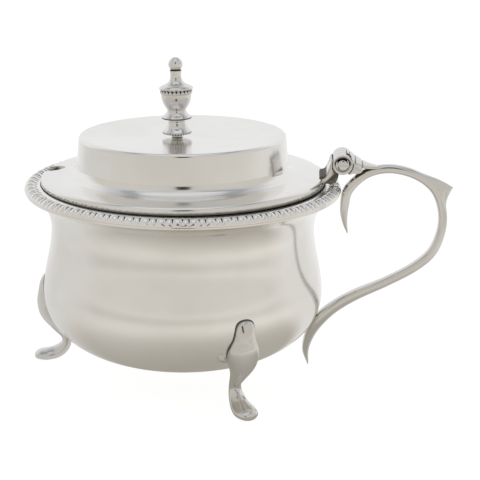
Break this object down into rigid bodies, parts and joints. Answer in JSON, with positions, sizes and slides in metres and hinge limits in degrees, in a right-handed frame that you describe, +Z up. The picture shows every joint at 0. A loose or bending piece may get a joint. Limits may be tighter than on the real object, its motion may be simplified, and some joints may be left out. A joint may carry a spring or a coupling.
{
  "type": "lidded condiment pot",
  "caption": "Small lidded silver sugar or mustard pot with a hinged drum lid, urn finial, spoon notch, gadrooned rim, scroll handle and cast pad feet.",
  "frame": {"origin": "centre of the footprint on the table, which lies on the line from the pot's axis to the handle", "axes": "+Z up, +X from the pot towards its handle, -Y towards the viewer of the picture"},
  "size_m": [0.1051, 0.078, 0.0792],
  "materials": {
    "silver": "polished sterling silver",
    "brass": "machined",
    "blue_glass": "clear cobalt glass"
  },
  "bodies": {
    "pot": {"pot_body": "silver", "rim_mount": "silver", "glass_liner": "blue_glass", "leg_front": "silver", "leg_left": "silver", "leg_back": "silver", "handle": "silver", "hinge_bracket": "silver", "hinge_shell": "silver", "handle_knuckle_near": "silver", "handle_knuckle_middle": "silver", "handle_knuckle_far": "silver", "hinge_pin": "silver"},
    "lid": {"lid": "silver", "lid_bezel": "silver", "lid_leaf": "silver", "lid_knuckle_near": "silver", "lid_knuckle_far": "silver", "finial": "silver", "finial_collar": "silver", "finial_stud": "brass", "finial_washer": "silver", "finial_nut": "brass"}
  },
  "joints": [
    {"name": "lid_hinge", "type": "hinge", "parent": "pot", "child": "lid", "pos_m": [0.02545, 0, 0.0546], "axis": [0, 1, 0], "range_deg": [0, 90]}
  ]
}
